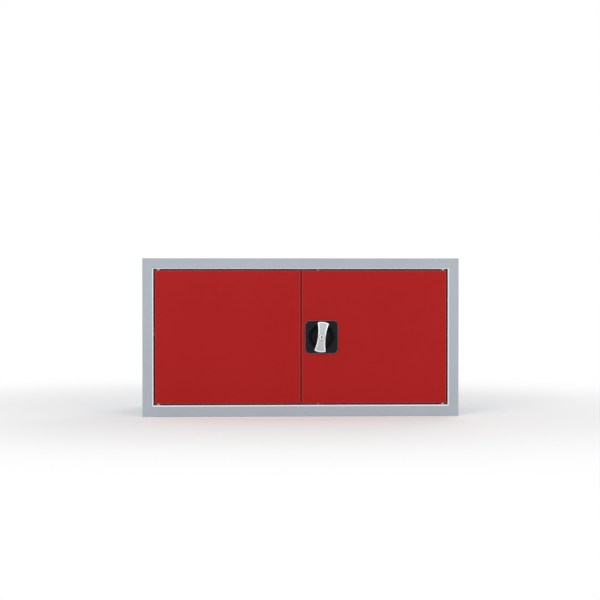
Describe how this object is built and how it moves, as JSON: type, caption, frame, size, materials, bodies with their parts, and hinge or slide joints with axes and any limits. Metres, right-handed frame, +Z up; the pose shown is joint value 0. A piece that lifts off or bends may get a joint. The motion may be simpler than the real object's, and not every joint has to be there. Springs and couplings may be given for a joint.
{
  "type": "locker top cabinet",
  "caption": "Low wide steel cabinet that stands on a locker, with inset hinged doors, a shelf and a turn-handle rod lock.",
  "frame": {"origin": "middle of the footprint, on the plane that the cabinet stands on", "axes": "+X along the width to the right as seen from the front, +Y from the front to the back, +Z up"},
  "size_m": [1, 0.4394, 0.5],
  "materials": {
    "grey_powder_coat": "satin powder coat",
    "red_powder_coat": "satin powder coat",
    "galvanised_sheet": "galvanised",
    "zinc_plated_steel": "zinc plated",
    "black_plastic": "fine moulded grain",
    "satin_handle": "satin die-cast",
    "nickel_cylinder": "nickel plated",
    "white_nylon": "natural nylon",
    "black_rubber": "matt"
  },
  "bodies": {
    "cabinet": {"back_panel": "grey_powder_coat", "bottom_panel": "grey_powder_coat", "left_front_shelf_clip": "zinc_plated_steel", "left_front_shelf_strip": "grey_powder_coat", "left_lower_door_buffer": "black_rubber", "left_lower_hinge_bush": "white_nylon", "left_rear_shelf_clip": "zinc_plated_steel", "left_rear_shelf_strip": "grey_powder_coat", "left_side_panel": "grey_powder_coat", "left_upper_door_buffer": "black_rubber", "left_upper_hinge_bush": "white_nylon", "lower_rod_keeper": "grey_powder_coat", "right_front_shelf_clip": "zinc_plated_steel", "right_front_shelf_strip": "grey_powder_coat", "right_lower_door_buffer": "black_rubber", "right_lower_hinge_bush": "white_nylon", "right_rear_shelf_clip": "zinc_plated_steel", "right_rear_shelf_strip": "grey_powder_coat", "right_side_panel": "grey_powder_coat", "right_upper_door_buffer": "black_rubber", "right_upper_hinge_bush": "white_nylon", "shelf": "galvanised_sheet", "top_panel": "grey_powder_coat", "upper_rod_keeper": "grey_powder_coat"},
    "left_door": {"door_stop_strip": "red_powder_coat", "left_door_panel": "red_powder_coat", "left_door_stiffener": "red_powder_coat", "left_lower_hinge_pin": "zinc_plated_steel", "left_lower_pivot_bracket": "red_powder_coat", "left_upper_hinge_pin": "zinc_plated_steel", "left_upper_pivot_bracket": "red_powder_coat"},
    "right_door": {"lock_case_base": "zinc_plated_steel", "lock_case_cover": "zinc_plated_steel", "lock_case_screws": "zinc_plated_steel", "lock_plate": "black_plastic", "lock_plate_screws": "zinc_plated_steel", "lower_rod_bush": "white_nylon", "right_door_panel": "red_powder_coat", "right_door_stiffener": "red_powder_coat", "right_lower_hinge_pin": "zinc_plated_steel", "right_lower_pivot_bracket": "red_powder_coat", "right_upper_hinge_pin": "zinc_plated_steel", "right_upper_pivot_bracket": "red_powder_coat", "upper_rod_bush": "white_nylon"},
    "handle": {"handle": "satin_handle", "lock_cylinder": "nickel_cylinder", "drive_pinion": "zinc_plated_steel", "retaining_ring": "zinc_plated_steel"},
    "upper_rod": {"upper_lock_rod": "zinc_plated_steel"},
    "lower_rod": {"lower_lock_rod": "zinc_plated_steel"},
    "key_plug": {"key_plug": "nickel_cylinder"},
    "lock_bolt": {"lock_bolt": "zinc_plated_steel"}
  },
  "joints": [
    {"name": "left_door_hinge", "type": "hinge", "parent": "cabinet", "child": "left_door", "pos_m": [-0.45, -0.202, 0.2515], "axis": [0, 0, -1], "range_deg": [0, 110]},
    {"name": "right_door_hinge", "type": "hinge", "parent": "cabinet", "child": "right_door", "pos_m": [0.45, -0.202, 0.2515], "axis": [0, 0, 1], "range_deg": [0, 110]},
    {"name": "handle_turn", "type": "hinge", "parent": "right_door", "child": "handle", "pos_m": [0.0645, -0.21, 0.2515], "axis": [0, 1, 0], "range_deg": [0, 90]},
    {"name": "upper_rod_slide", "type": "slide", "parent": "right_door", "child": "upper_rod", "axis": [0, 0, 1], "range_m": [0, 0.0118]},
    {"name": "lower_rod_slide", "type": "slide", "parent": "right_door", "child": "lower_rod", "axis": [0, 0, -1], "range_m": [0, 0.0118]},
    {"name": "key_turn", "type": "hinge", "parent": "handle", "child": "key_plug", "pos_m": [0.0645, -0.22, 0.2515], "axis": [0, 1, 0], "range_deg": [0, 90]},
    {"name": "lock_bolt_slide", "type": "slide", "parent": "handle", "child": "lock_bolt", "axis": [-0.1167, 0, -0.9932], "range_m": [0, 0.004]}
  ],
  "couplings": [
    {"joint": "upper_rod_slide", "follows": "handle_turn", "m_per_rad": 0.0075},
    {"joint": "lower_rod_slide", "follows": "handle_turn", "m_per_rad": 0.0075},
    {"joint": "lock_bolt_slide", "follows": "key_turn", "m_per_rad": 0.002546}
  ]
}
